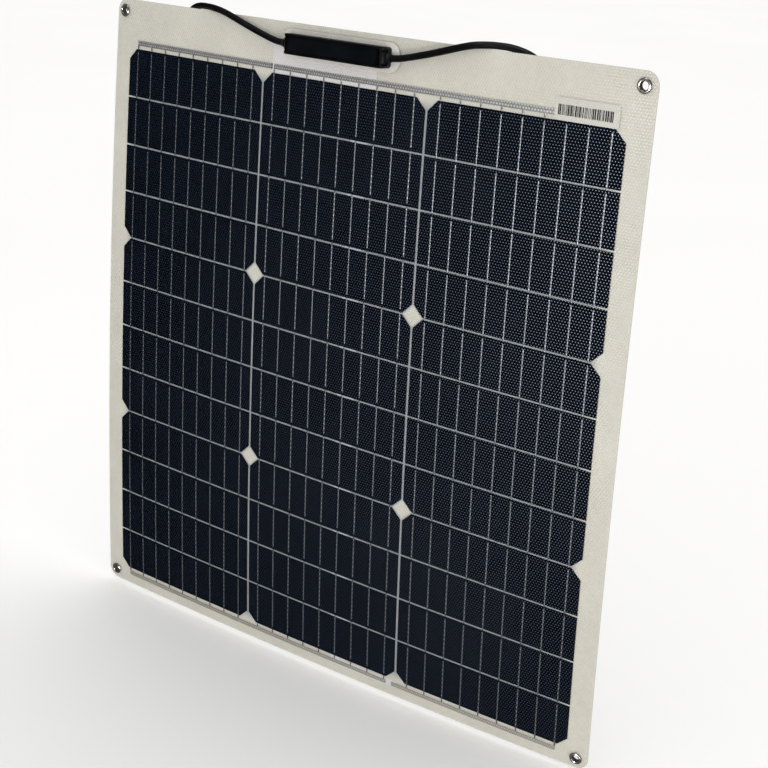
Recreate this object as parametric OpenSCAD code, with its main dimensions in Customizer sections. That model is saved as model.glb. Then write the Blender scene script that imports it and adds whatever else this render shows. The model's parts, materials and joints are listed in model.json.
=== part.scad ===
/* [Sheet] */
// Width of the sheet
sheet_w = 510; // [508:1:530]
// Height of the sheet
sheet_h = 542; // [540:1:560]
// Corner radius of the sheet
corner_r = 10; // [6:1:14]
// Radius of the sheet's own slight curl, about the diagonal through two eyelets
curl_r = 2900; // [2600:100:6000]
// Border above the cells, where the junction box sits
margin_top = 39.5; // [39:0.5:42]

/* [Cells] */
// Width of a full cell, and four times the height of a strip
cell_w = 156.75; // [156:0.25:157]
// Chamfer at the corners of a full cell
cell_chamfer = 8.3; // [7:0.1:9]
// Gap between strips
strip_gap = 1.44; // [1.4:0.02:1.5]
// Gap between columns
column_gap = 2; // [1.5:0.1:2.5]
// Number of busbars on a strip
bar_count = 9; // [5:2:9]
// Distance between busbars
bar_pitch = 17; // [15:0.5:17]
// Width of a busbar
bar_w = 1; // [0.8:0.1:1.4]
// Width of a bus ribbon
bus_w = 4; // [3:0.5:5]

/* [Eyelets] */
// Distance of an eyelet's centre from the two edges beside it
eyelet_inset = 9.5; // [9:0.5:11]
// Radius of the eyelet's hole
eyelet_hole_r = 3; // [2:0.25:3.25]
// Radius of the eyelet's flange
eyelet_flange_r = 5.2; // [5:0.1:6]

/* [Junction box] */
// Length of the box
box_l = 99; // [97:0.5:103]
// Width of the box
box_w = 15; // [14.6:0.2:16]
// Height of the box above its adhesive pad
box_h = 9.3; // [9:0.1:11]
// Place of the box's centre to the right of the sheet's middle
box_x = -3.2; // [-10:0.1:10]

/* [Leads] */
// Diameter of a lead
lead_d = 5; // [4.5:0.1:5]
// Radius of a coil, to the middle of its bundle
coil_r = 26; // [25:0.5:27]

/* [Flex] */
// Width of the slot between two sections of the sheet
slot_w = 1.3; // [1.2:0.05:1.35]

/* [Hidden] */

$fn = 48;

// Depths of the laminate's layers below the front surface: [nearer, deeper]
film = [0, 0.10];
label_band = [0.12, 0.20];
front_fill = [0.22, 0.48];
front_ribbon = [0.50, 0.64];
cell_band = [0.66, 0.84];
insulation = [0.86, 0.94];
back_ribbon = [0.96, 1.10];
back_fill = [1.12, 1.45];
core = [1.47, 2.17];
back_film = [2.19, 2.50];
sheet_t = back_film[1];

// Colours
white_film = "#e6e3d8";
clear_film = [0.85, 0.9, 0.95, 0.35];
cell_blue = "#0d1522";
tinned = "#a9adb0";
black_plastic = "#17181a";
rubber_black = "#0f1011";
nickel = "#c9c9c6";
brass = "#b08d4a";

// Places on the flat sheet, from its middle: x to the right, z up
hole_dx = sheet_w - 2 * eyelet_inset;
hole_dz = sheet_h - 2 * eyelet_inset;
strip_h = cell_w / 4;
strip_pitch = strip_h + strip_gap;
column_pitch = cell_w + column_gap;
rows = 12;
rows_per_section = 4;
block_top = sheet_h / 2 - margin_top;
block_bottom = block_top - rows * strip_pitch + strip_gap;
block_mid = (block_top + block_bottom) / 2;
upper_cut = block_mid + 2 * strip_pitch;
lower_cut = block_mid - 2 * strip_pitch;

// The curl: the sheet is part of a cylinder whose straight lines run from the
// top right eyelet to the bottom left one, with its axis behind the sheet
ruling_angle = atan2(hole_dx, hole_dz);
ruling = [sin(ruling_angle), 0, cos(ruling_angle)];
band_arc = 18;
band_l = 790;
fine = 720;
function curl_s(x, z) = x * cos(ruling_angle) - z * sin(ruling_angle);
function curl_y(x, z) = curl_r - sqrt(curl_r * curl_r - pow(curl_s(x, z), 2));
function curl_turn(x, z) = asin(curl_s(x, z) / curl_r);

// Bus ribbons and what crosses them
bus_gap = 3.1;
bus_mid = bus_gap + bus_w / 2;
bar_reach = (bar_count - 1) / 2 * bar_pitch;
bus_end = column_pitch + bar_reach + bar_w / 2;
top_split = [-71, -68.5];
bottom_split = [70, 75.5];
bar_inset_top = 2;
bar_inset_bottom = 2.7;
return_x = 20.3;
return_w = 5;
insulation_w = 16;
patch_x = [-70, 33];
patch_h = 22;
lead_out_x = -64;
lead_out_w = 4;

// Junction box, in the frame of the spot it sits on: z is the height above the sheet
box_z = sheet_h / 2 - 15;
pad_t = 0.8;
pad_l = 113;
pad_w = 21.6;
pad_r = 9;
box_top = pad_t + box_h;
nose_r = 6;
box_corner_r = 2.5;
box_floor = 1.2;
cavity_l = 79;
cavity_w = 8.8;
recess_l = 86;
recess_w = 11.4;
recess_d = 1.6;
groove_w = 2.4;
groove_d = 4;
lid_play = 0.3;
cable_z = 4.4;
cable_bore_r = 2.6;
seal_l = 3;
plate_x = 26;
riser_x = 25.8;

// Connectors
nut_l = 16;
nut_r = 7.6;
body_r = 6.4;
body_l = 27;
connector_z = -118;

// Routes of the leads, from the box to the coil and from the coil to the connector,
// in the part's own frame
positive_route = [
  [-197.5, -1.3, -5.3], [-190, -1.6, -4.5], [-182, -1.8, -2.9], [-172, -1.9, -0.5],
  [-160.5, -2.2, 2.5], [-149, -2.2, 5.8], [-138.5, -2, 8.9], [-128, -1.2, 11.4],
  [-122, 0.6, 12.1], [-117, 3.2, 12.3], [-111, 6, 12.15], [-105, 8, 11.7],
  [-96, 9.8, 9.9], [-88, 10.8, 7], [-80.5, 11.4, 2.2], [-74.5, 11.8, -5],
  [-70, 12, -14], [-67.2, 12, -25], [-65.9, 12, -38], [-65.7, 12, -52],
  [-65.7, 12, -67]
];
positive_tail = [
  [-68.7, 7.9, -67], [-68.7, 7.2, -76], [-68.6, 7.6, -85], [-68.3, 9.4, -94],
  [-68, 11.8, -103], [-68, 13.5, -112], [-68, 14, -118], [-68, 14, -130]
];
positive_coil = [-96, 12, -67];
positive_end = [-68, 14];
negative_route = [
  [-300.4, 3.35, -5.3], [-306, 3.6, -5.1], [-313, 4.1, -3.9], [-320, 4.8, -2.3],
  [-332, 5.8, 0.9], [-347, 7.2, 5.1], [-356, 8.4, 7.6], [-365, 9.9, 9.9],
  [-378.5, 12.6, 12], [-392.5, 16.6, 12.4], [-404, 20.4, 11.6], [-411.5, 22.4, 9.3],
  [-418, 23.4, 4.1], [-421.9, 23.9, -4], [-423.9, 24, -14], [-424.4, 24, -26],
  [-424.5, 24, -40], [-424.5, 24, -54], [-424.5, 24, -67]
];
negative_tail = [
  [-421.5, 19.9, -67], [-421.5, 19.4, -76], [-421.6, 19.8, -85], [-421.9, 21.2, -94],
  [-422.2, 22.8, -103], [-422.2, 23.8, -112], [-422.2, 24, -118], [-422.2, 24, -130]
];
negative_coil = [-394.2, 24, -67];
negative_end = [-422.2, 24];
turn_offset = 4.3;
bundle_r = turn_offset + lead_d / 2;
tube_sides = 8;

// Moves a piece from the sheet's middle to the part's frame, whose origin is the
// top right eyelet's hole
module placed() {
  translate([-hole_dx / 2, 0, -hole_dz / 2]) children();
}

// Puts a flat piece on the curled front: its x is right, its y is up, its z is out
module on_sheet(x, z) {
  translate([x, curl_y(x, z), z])
    rotate(a = curl_turn(x, z), v = ruling)
      rotate([90, 0, 0]) children();
}

module on_box() {
  placed() on_sheet(box_x, box_z) children();
}

// One layer of the curled sheet, from one depth to another, before it is cut out
module curled_layer(depths) {
  translate([0, curl_r, 0]) rotate([0, ruling_angle, 0])
    rotate([0, 0, -90 - band_arc / 2])
      rotate_extrude(angle = band_arc, $fn = fine)
        translate([curl_r - depths[1], -band_l / 2])
          square([depths[1] - depths[0], band_l]);
}

// Extrudes an outline drawn in x and z right through the sheet
module through() {
  translate([0, 60, 0]) rotate([90, 0, 0]) linear_extrude(80) children();
}

// A piece of one layer with the given outline
module cut_from(depths) {
  placed() intersection() {
    curled_layer(depths);
    through() children();
  }
}

module rounded_rect(w, h, r) {
  square([w - 2 * r, h], center = true);
  square([w, h - 2 * r], center = true);
  for (i = [-1, 1], j = [-1, 1])
    translate([i * (w / 2 - r), j * (h / 2 - r)]) circle(r);
}

module span(x0, x1, z0, z1) {
  translate([x0, z0]) square([x1 - x0, z1 - z0]);
}

// Window of a section of the sheet: 0 is the upper, 1 the middle, 2 the lower one
function section_high(k) = k == 0 ? sheet_h : (k == 1 ? upper_cut : lower_cut) - slot_w / 2;
function section_low(k) = k == 2 ? -sheet_h : (k == 0 ? upper_cut : lower_cut) + slot_w / 2;

module section_outline(k) {
  intersection() {
    rounded_rect(sheet_w, sheet_h, corner_r);
    span(-sheet_w, sheet_w, section_low(k), section_high(k));
  }
}

// Whole layer of one section, with its eyelet holes
module layer(k, depths) {
  difference() {
    cut_from(depths) section_outline(k);
    if (k != 1)
      for (i = [-1, 1])
        placed() on_sheet(i * hole_dx / 2, (1 - k) * hole_dz / 2)
          translate([0, 0, -5]) cylinder(r = eyelet_hole_r + 0.6, h = 10);
  }
}

// Slots through which the lead-out ribbons rise into the box
module riser_slots() {
  for (i = [-1, 1])
    on_box() translate([i * riser_x, 0, 0]) cube([1, lead_out_w + 1, 8], center = true);
}

module front_film(k) {
  color(clear_film) difference() {
    layer(k, film);
    if (k == 0) riser_slots();
  }
}

module front_encapsulant(k) {
  color(clear_film) difference() {
    layer(k, front_fill);
    if (k == 0) riser_slots();
  }
}

module back_encapsulant(k) {
  color(clear_film) layer(k, back_fill);
}

module core_board(k) {
  color("#cfd3b4") layer(k, core);
}

module back_film(k) {
  color(white_film) layer(k, back_film);
}

// Outline of a strip: only the block's first and last strips have chamfered corners
module strip_outline(first, last) {
  w = cell_w / 2;
  h = strip_h / 2;
  t = first ? cell_chamfer : 0;
  b = last ? cell_chamfer : 0;
  upper = first ? [[w - t, h], [t - w, h], [-w, h - t]] : [[w, h], [-w, h]];
  lower = last ? [[-w, b - h], [b - w, -h], [w - b, -h], [w, b - h]] : [[-w, -h], [w, -h]];
  right = first ? [[w, h - t]] : [];
  polygon(concat(upper, lower, right));
}

module cells(k, column) {
  color(cell_blue) cut_from(cell_band)
    for (i = [0 : rows_per_section - 1])
      translate([
        (column - 1) * column_pitch,
        block_top - strip_h / 2 - (k * rows_per_section + i) * strip_pitch
      ]) strip_outline(i == 0, i == rows_per_section - 1);
}

// Busbars: they run on from each strip to the next. In the middle column they leave a
// strip at its top edge, in the outer ones at its bottom edge.
module busbars(k) {
  color(tinned) cut_from(front_ribbon) {
    for (column = [0 : 2], i = [0 : rows_per_section - 1], j = [0 : bar_count - 1]) {
      x = (column - 1) * column_pitch - bar_reach + j * bar_pitch;
      high = block_top - (k * rows_per_section + i) * strip_pitch;
      low = high - strip_h;
      rise = i == 0 ? 0 : strip_gap;
      drop = i == rows_per_section - 1 ? 0 : strip_gap;
      if (column == 1)
        span(x - bar_w / 2, x + bar_w / 2, low + bar_inset_bottom, high + rise);
      else
        span(x - bar_w / 2, x + bar_w / 2, low - drop, high - bar_inset_top);
    }
    if (k != 1)
      for (column = [0 : 2], j = [0 : bar_count - 1]) {
        x = (column - 1) * column_pitch - bar_reach + j * bar_pitch;
        if (k == 0) span(x - bar_w / 2, x + bar_w / 2, block_top, block_top + bus_gap);
        else span(x - bar_w / 2, x + bar_w / 2, block_bottom - bus_gap, block_bottom);
      }
  }
}

module bus_ribbon(x0, x1, z) {
  color(tinned) cut_from(front_ribbon) span(x0, x1, z - bus_w / 2, z + bus_w / 2);
}

module return_ribbon(k) {
  low = k == 2 ? block_bottom - bus_gap - bus_w : section_low(k);
  high = k == 0 ? box_z + lead_out_w / 2 : section_high(k);
  color(tinned) cut_from(back_ribbon) {
    span(return_x - return_w / 2, return_x + return_w / 2, low, high);
    if (k == 2) span(return_x, bottom_split[1] + bus_w, low, low + bus_w);
  }
}

module insulation_sheet(k) {
  x0 = return_x - insulation_w / 2;
  low = k == 2 ? block_bottom - bus_gap - bus_w - 1.4 : section_low(k);
  high = k == 0 ? block_top + 0.6 : section_high(k);
  color("#f4f4f2") cut_from(insulation) {
    span(x0, x0 + insulation_w, low, high);
    if (k == 0) span(patch_x[0], patch_x[1], high, high + patch_h);
    if (k == 2) span(x0, bottom_split[1] + 5, low, block_bottom - 1.4);
  }
}

// Lead-out ribbons: one comes from the top left bus ribbon, the other from the return
// ribbon, and each stands up into the box through its slot
module lead_out_ribbons() {
  bus_z = block_top + bus_mid;
  rise_x = box_x - riser_x;
  color(tinned) {
    cut_from(back_ribbon) {
      span(top_split[0] - 5, lead_out_x + lead_out_w, bus_z - lead_out_w / 2, bus_z + lead_out_w / 2);
      span(lead_out_x, lead_out_x + lead_out_w, bus_z, box_z + lead_out_w / 2);
      span(lead_out_x, rise_x + 1, box_z - lead_out_w / 2, box_z + lead_out_w / 2);
    }
    for (i = [-1, 1])
      on_box() translate([i * riser_x - 0.1, -lead_out_w / 2, -0.95])
        cube([0.2, lead_out_w, pad_t + box_floor + 1.7]);
  }
}

module id_label() {
  color("#f2f1ea") cut_from(label_band) span(183, 231, block_top + 0.4, block_top + 15.4);
}

// Eyelet: a barrel with a round-edged flange in front and a rolled end behind
module eyelet() {
  flange_t = 0.9;
  roll_r = 0.5;
  back = -sheet_t - 0.55;
  difference() {
    union() {
      translate([0, 0, back - roll_r]) cylinder(r = eyelet_hole_r + 0.5, h = flange_t + roll_r - back);
      rotate_extrude() {
        translate([0, 0.02]) square([eyelet_flange_r - flange_t / 2, flange_t - 0.02]);
        translate([eyelet_flange_r - flange_t / 2, 0.02 + flange_t / 2]) circle(flange_t / 2 - 0.02);
        translate([eyelet_hole_r + 0.5 + roll_r / 2, back - roll_r]) circle(roll_r);
      }
    }
    translate([0, 0, back - 5]) cylinder(r = eyelet_hole_r, h = 10);
  }
}

module eyelets(k) {
  color(nickel)
    for (i = [-1, 1])
      placed() on_sheet(i * hole_dx / 2, (1 - k) * hole_dz / 2) eyelet();
}

module eyelet_washers(k) {
  washer_t = 0.45;
  color(nickel)
    for (i = [-1, 1])
      placed() on_sheet(i * hole_dx / 2, (1 - k) * hole_dz / 2)
        translate([0, 0, -sheet_t - 0.05 - washer_t]) difference() {
          cylinder(r = eyelet_flange_r, h = washer_t);
          translate([0, 0, -1]) cylinder(r = eyelet_hole_r + 0.55, h = 3);
        }
}

// Fills the space in front of the curled surface around a spot on it
module in_front_of_curl(reach, play) {
  steps = 14;
  edge = [for (i = [0 : steps])
    let (s = reach * (2 * i / steps - 1)) [s, play - s * s / (2 * curl_r)]];
  rotate([0, 0, -ruling_angle]) rotate([90, 0, 0])
    linear_extrude(2 * reach, center = true)
      polygon(concat(edge, [[reach, 10], [-reach, 10]]));
}

// Adhesive pad: its back follows the curl and its front is flat
module adhesive_pad() {
  color("#e9e7dd") difference() {
    on_box() intersection() {
      translate([0, 0, -1.5]) linear_extrude(1.5 + pad_t) rounded_rect(pad_l, pad_w, pad_r);
      in_front_of_curl(60, 0.02);
    }
    riser_slots();
  }
}

// Side view of the box: flat below, with round noses at both ends
module base_profile() {
  difference() {
    union() {
      translate([-box_l / 2, 0]) square([box_l, box_h - nose_r]);
      translate([nose_r - box_l / 2, 0]) square([box_l - 2 * nose_r, box_h]);
      for (i = [-1, 1]) translate([i * (box_l / 2 - nose_r), box_h - nose_r]) circle(nose_r);
    }
    translate([-box_l, -box_h]) square([2 * box_l, box_h]);
  }
}

module box_base() {
  color(black_plastic) difference() {
    on_box() difference() {
      intersection() {
        translate([0, 0, pad_t]) rotate([90, 0, 0])
          linear_extrude(box_w + 2, center = true) base_profile();
        linear_extrude(box_top + 1) rounded_rect(box_l, box_w, box_corner_r);
      }
      translate([-cavity_l / 2, -cavity_w / 2, pad_t + box_floor]) cube([cavity_l, cavity_w, box_h]);
      translate([-recess_l / 2, -recess_w / 2, box_top - recess_d]) cube([recess_l, recess_w, box_h]);
      for (i = [-1, 1])
        translate([i * (recess_l + groove_w) / 2, 0, box_top])
          cube([groove_w + 0.02, recess_w, 2 * groove_d], center = true);
      for (i = [-1, 1])
        translate([i * box_l / 2, 0, cable_z]) rotate([0, -90 * i, 0])
          translate([0, 0, -1]) cylinder(r = cable_bore_r, h = 20);
    }
    riser_slots();
  }
}

// Lid: a plate in the recess with a low rim, and four snap tabs below it
module box_lid() {
  l = recess_l - 2 * lid_play;
  w = recess_w - 2 * lid_play;
  plate_t = recess_d - 0.02;
  rim = 0.7;
  tab = [6, 0.8, 3];
  color("#1c1d20") on_box() translate([0, 0, box_top - plate_t]) {
    translate([-l / 2, -w / 2, 0]) cube([l, w, plate_t]);
    difference() {
      translate([-l / 2, -w / 2, plate_t]) cube([l, w, 0.4]);
      translate([rim - l / 2, rim - w / 2, plate_t - 1]) cube([l - 2 * rim, w - 2 * rim, 2]);
    }
    for (i = [-1, 1], j = [-1, 1])
      translate([i * 30 - tab[0] / 2, j * 3.7 - tab[1] / 2, -tab[2]]) cube([tab[0], tab[1], tab[2] + 0.5]);
  }
}

// Turns a piece drawn along z so that it runs out of the box's right or left end
module at_box_end(i) {
  on_box() translate([i * box_l / 2, 0, cable_z]) rotate([0, 90 * i, 0]) children();
}

module cable_seals() {
  plug_l = box_l / 2 - cavity_l / 2;
  color(rubber_black)
    for (i = [-1, 1])
      at_box_end(i) difference() {
        union() {
          translate([0, 0, -plug_l]) cylinder(r = cable_bore_r - 0.05, h = plug_l + 0.1);
          cylinder(r1 = 3.5, r2 = 2.95, h = seal_l);
        }
        translate([0, 0, -plug_l - 1]) cylinder(r = 1.1, h = plug_l + 2);
      }
}

module lead_conductors() {
  wire_l = box_l / 2 - plate_x - 3.5;
  color("#c87a4a")
    for (i = [-1, 1])
      at_box_end(i) translate([0, 0, -wire_l]) cylinder(r = 1, h = wire_l + 0.5);
}

module terminal_plates() {
  color(brass)
    for (i = [-1, 1])
      on_box() translate([i * (plate_x + 6) - 6, -3, pad_t + box_floor]) cube([12, 6, 0.8]);
}

module cable_clamps() {
  color(nickel)
    for (i = [-1, 1])
      on_box() difference() {
        translate([i * 33 - 2, -3, pad_t + box_floor + 0.82]) cube([4, 6, 3.2]);
        translate([i * 33, 0, cable_z]) rotate([0, 90, 0]) cylinder(r = 1.05, h = 10, center = true);
      }
}

module bypass_diode() {
  pin_r = 0.4;
  pin_z = pad_t + box_floor + 0.82 + pin_r;
  color("#222326") on_box() {
    translate([-4, -2.5, pad_t + box_floor + 0.02]) cube([8, 5, 2.6]);
    translate([0, 0, pin_z]) rotate([0, 90, 0]) cylinder(r = pin_r, h = 2 * plate_x + 6, center = true);
  }
}

// A tube swept along a list of points: each ring stands square to the way at its point
function unit(v) = v / norm(v);
function along(pts, i) = unit(pts[min(i + 1, len(pts) - 1)] - pts[max(i - 1, 0)]);
function ring_at(p, t, r) =
  let (u = unit(cross(t, [0, 1, 0])), v = cross(t, u))
    [for (k = [0 : tube_sides - 1])
      p + r * (cos(k * 360 / tube_sides) * u + sin(k * 360 / tube_sides) * v)];

module tube(pts, r) {
  n = tube_sides;
  last = len(pts) - 1;
  points = [for (i = [0 : last]) each ring_at(pts[i], along(pts, i), r)];
  sides = [for (i = [0 : last - 1], k = [0 : n - 1])
    [i * n + k, (i + 1) * n + k, (i + 1) * n + (k + 1) % n, i * n + (k + 1) % n]];
  start_cap = [[for (k = [0 : n - 1]) k]];
  end_cap = [[for (k = [0 : n - 1]) last * n + n - 1 - k]];
  polyhedron(points, concat(start_cap, sides, end_cap));
}

module lead(route, tail) {
  color(rubber_black) {
    tube(route, lead_d / 2);
    tube(tail, lead_d / 2);
  }
}

module coil(centre) {
  color(rubber_black) translate(centre) rotate([90, 0, 0])
    rotate_extrude() translate([coil_r, 0]) circle(bundle_r);
}

// Connectors hang from their leads with z pointing back along the lead
module at_connector(end) {
  translate([end[0], end[1], connector_z]) rotate([180, 0, 0]) children();
}

module gland_nut() {
  cone_h = 5;
  rib = [1.3, 2.4, nut_l - cone_h - 1.2];
  difference() {
    union() {
      cylinder(r1 = 5, r2 = nut_r, h = cone_h);
      translate([0, 0, cone_h]) cylinder(r = nut_r, h = nut_l - cone_h);
      for (i = [0 : 5])
        rotate([0, 0, i * 60 + 30]) translate([nut_r - 0.5, -rib[1] / 2, cone_h + 0.6]) cube(rib);
    }
    translate([0, 0, -1]) cylinder(r = lead_d / 2 + 0.1, h = nut_l + 2);
    translate([0, 0, 8]) cylinder(r = 5.4, h = nut_l);
  }
}

module gland_nuts() {
  color(black_plastic) {
    at_connector(positive_end) gland_nut();
    at_connector(negative_end) gland_nut();
  }
}

// The body that both connectors share: a threaded neck that the nut turns on
module connector_body() {
  translate([0, 0, 8.2]) cylinder(r = 5.2, h = nut_l - 8);
  translate([0, 0, nut_l + 0.2]) cylinder(r = body_r, h = body_l - nut_l);
}

module contact_bore() {
  translate([0, 0, 8]) cylinder(r = lead_d / 2 + 0.1, h = 6);
  translate([0, 0, 13]) cylinder(r = 1.9, h = 50);
}

module plug_housing() {
  collar_z = body_l;
  color(black_plastic) at_connector(positive_end) difference() {
    union() {
      connector_body();
      translate([0, 0, collar_z]) cylinder(r1 = body_r, r2 = 8.4, h = 4);
      translate([0, 0, collar_z + 4]) cylinder(r = 8.4, h = 20);
    }
    contact_bore();
    translate([0, 0, collar_z + 6]) cylinder(r = 5.4, h = 30);
    for (i = [-1, 1]) translate([i * 7, 0, collar_z + 16]) cube([5, 3.8, 9], center = true);
  }
}

module socket_housing() {
  color(black_plastic) at_connector(negative_end) difference() {
    union() {
      connector_body();
      translate([0, 0, body_l]) cylinder(r = 5, h = 22);
      for (i = [-1, 1]) translate([i * 6.6 - 0.7, -1.8, body_l - 4]) cube([1.4, 3.6, 20]);
    }
    contact_bore();
  }
}

module plug_pin() {
  color(brass) at_connector(positive_end) {
    translate([0, 0, 12.5]) cylinder(r = 1.8, h = body_l - 5);
    translate([0, 0, body_l + 6]) cylinder(r = 1.5, h = 12);
  }
}

module socket_sleeve() {
  color(brass) at_connector(negative_end) difference() {
    translate([0, 0, 12.5]) cylinder(r = 1.8, h = body_l + 6);
    translate([0, 0, body_l]) cylinder(r = 1.55, h = 20);
  }
}

front_film(0);  // front_film_upper
front_film(1);  // front_film_middle
front_film(2);  // front_film_lower
front_encapsulant(0);  // front_encapsulant_upper
front_encapsulant(1);  // front_encapsulant_middle
front_encapsulant(2);  // front_encapsulant_lower
back_encapsulant(0);  // back_encapsulant_upper
back_encapsulant(1);  // back_encapsulant_middle
back_encapsulant(2);  // back_encapsulant_lower
core_board(0);  // core_board_upper
core_board(1);  // core_board_middle
core_board(2);  // core_board_lower
back_film(0);  // back_film_upper
back_film(1);  // back_film_middle
back_film(2);  // back_film_lower
cells(0, 0);  // cells_upper_left
cells(0, 1);  // cells_upper_centre
cells(0, 2);  // cells_upper_right
cells(1, 0);  // cells_middle_left
cells(1, 1);  // cells_middle_centre
cells(1, 2);  // cells_middle_right
cells(2, 0);  // cells_lower_left
cells(2, 1);  // cells_lower_centre
cells(2, 2);  // cells_lower_right
busbars(0);  // busbars_upper
busbars(1);  // busbars_middle
busbars(2);  // busbars_lower
bus_ribbon(-bus_end, top_split[0], block_top + bus_mid);  // bus_ribbon_top_left
bus_ribbon(top_split[1], bus_end, block_top + bus_mid);  // bus_ribbon_top_bridge
bus_ribbon(-bus_end, bottom_split[0], block_bottom - bus_mid);  // bus_ribbon_bottom_bridge
bus_ribbon(bottom_split[1], bus_end, block_bottom - bus_mid);  // bus_ribbon_bottom_right
return_ribbon(0);  // return_ribbon_upper
return_ribbon(1);  // return_ribbon_middle
return_ribbon(2);  // return_ribbon_lower
insulation_sheet(0);  // insulation_upper
insulation_sheet(1);  // insulation_middle
insulation_sheet(2);  // insulation_lower
lead_out_ribbons();
id_label();
eyelets(0);  // eyelets_upper
eyelets(2);  // eyelets_lower
eyelet_washers(0);  // eyelet_washers_upper
eyelet_washers(2);  // eyelet_washers_lower
adhesive_pad();
box_base();
box_lid();
cable_seals();
lead_conductors();
terminal_plates();
cable_clamps();
bypass_diode();
lead(positive_route, positive_tail);  // lead_positive
lead(negative_route, negative_tail);  // lead_negative
coil(positive_coil);  // coil_positive
coil(negative_coil);  // coil_negative
plug_housing();
socket_housing();
gland_nuts();
plug_pin();
socket_sleeve();
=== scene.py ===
import json
import math
import random

import bpy
import numpy as np
from mathutils import Matrix, Quaternion, Vector
from mathutils.geometry import delaunay_2d_cdt

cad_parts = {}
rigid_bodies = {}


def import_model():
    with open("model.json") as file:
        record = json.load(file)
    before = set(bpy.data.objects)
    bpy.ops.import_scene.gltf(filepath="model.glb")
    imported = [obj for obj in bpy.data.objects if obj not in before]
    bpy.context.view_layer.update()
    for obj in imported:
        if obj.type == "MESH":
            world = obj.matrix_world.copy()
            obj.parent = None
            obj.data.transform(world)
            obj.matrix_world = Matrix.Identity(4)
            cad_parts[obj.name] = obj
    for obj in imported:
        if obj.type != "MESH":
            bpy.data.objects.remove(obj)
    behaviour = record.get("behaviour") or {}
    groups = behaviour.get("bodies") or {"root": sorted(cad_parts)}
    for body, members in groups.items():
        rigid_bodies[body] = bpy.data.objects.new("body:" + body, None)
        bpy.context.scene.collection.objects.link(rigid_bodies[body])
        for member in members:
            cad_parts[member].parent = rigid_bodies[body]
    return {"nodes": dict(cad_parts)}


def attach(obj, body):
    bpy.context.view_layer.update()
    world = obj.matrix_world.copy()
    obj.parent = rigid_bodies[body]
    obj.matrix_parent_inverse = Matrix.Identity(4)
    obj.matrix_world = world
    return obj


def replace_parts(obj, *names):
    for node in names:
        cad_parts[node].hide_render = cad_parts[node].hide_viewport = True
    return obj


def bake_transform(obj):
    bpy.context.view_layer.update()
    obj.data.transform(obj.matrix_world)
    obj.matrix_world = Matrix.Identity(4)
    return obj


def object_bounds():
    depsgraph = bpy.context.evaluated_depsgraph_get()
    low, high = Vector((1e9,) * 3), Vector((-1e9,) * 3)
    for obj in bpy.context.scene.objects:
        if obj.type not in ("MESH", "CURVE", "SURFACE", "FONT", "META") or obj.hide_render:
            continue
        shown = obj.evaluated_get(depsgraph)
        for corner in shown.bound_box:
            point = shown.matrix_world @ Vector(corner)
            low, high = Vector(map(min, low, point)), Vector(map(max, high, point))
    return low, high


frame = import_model()
cad_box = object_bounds()

# Sizes are in millimetres and match the CAD model's; MM turns them into Blender's metres.
# Flat places are x and z from the middle of the sheet, before it is curled
MM = 0.001
SHEET_W, SHEET_H, CORNER_R = 510, 542, 10
EYELET_X, EYELET_Z, EYELET_BORE = 245.5, 261.5, 3.6
CURL_R = 2900
CELL_W, STRIP_GAP, COLUMN_GAP, CHAMFER = 156.75, 1.44, 2, 8.3
BAR_COUNT, BAR_PITCH, BAR_W = 9, 17, 1.0
BAR_INSET_TOP, BAR_INSET_BOTTOM = 2.0, 2.7
BUS_W, BUS_GAP = 4, 3.1
BUS_SPLIT_TOP, BUS_SPLIT_BOTTOM = (-71, -68.5), (70, 75.5)
RETURN_X, RETURN_W, RETURN_END = 20.3, 5, 79.5
INSULATION_W, PATCH_X, PATCH_H, OVERLAP = 16, (-70, 33), 22, (0.6, 1.4)
LABEL_X, LABEL_H, LABEL_GAP = (183, 231), 15, 0.4
ROWS, COLUMNS, BLOCK = 12, 3, 4
BLOCK_TOP = SHEET_H / 2 - 39.5
STRIP_H = CELL_W / 4
STRIP_PITCH = STRIP_H + STRIP_GAP
COLUMN_PITCH = CELL_W + COLUMN_GAP
BLOCK_BOTTOM = BLOCK_TOP - ROWS * STRIP_PITCH + STRIP_GAP
SPLIT_Z = (BLOCK_TOP + BLOCK_BOTTOM) / 2

# Depths below the front face
FILM = (0, 0.10)
LABEL = (0.14, 0.18)
RIBBON = (0.44, 0.62)
CELL = (0.67, 0.84)
INSULATION = (0.86, 0.94)
RETURN = (0.97, 1.08)
BACKING = (1.12, 1.46)
BOARD = (1.46, 2.18)
REAR = (2.18, 2.50)

BOX_X, BOX_Z = -3.2, SHEET_H / 2 - 15
PAD_L, PAD_W, PAD_R, PAD_T = 113, 21.6, 9, 0.8
BOX_L, BOX_W, BOX_H, NOSE_R, BOX_CORNER_R = 99, 15, 9.3, 6, 2.5
BOX_TOP = PAD_T + BOX_H
CAVITY_L, CAVITY_W, CAVITY_FLOOR = 79, 8.8, PAD_T + 1.2
RECESS_L, RECESS_W, RECESS_D = 86, 11.4, 1.6
GROOVE_END, GROOVE_D = 45.4, 4
LID_L, LID_W, LID_RIM, LID_PROUD = 85.4, 10.8, 0.75, 0.42
CABLE_Z, CABLE_D, CABLE_BORE_R = 4.4, 5, 2.6

SLANT = math.atan2(EYELET_X, EYELET_Z)
RULING = Vector((math.sin(SLANT), 0, math.cos(SLANT)))
STEP = 6.5  # about the longest edge of the sheet's meshes
# The film's dimples: waves per mm across and up the sheet, measured from the repeat in the photo
DIMPLE_WAVES = ((0.426, 0.237), (-0.426, 0.237), (0, 0.474))
random.seed(7)


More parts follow.
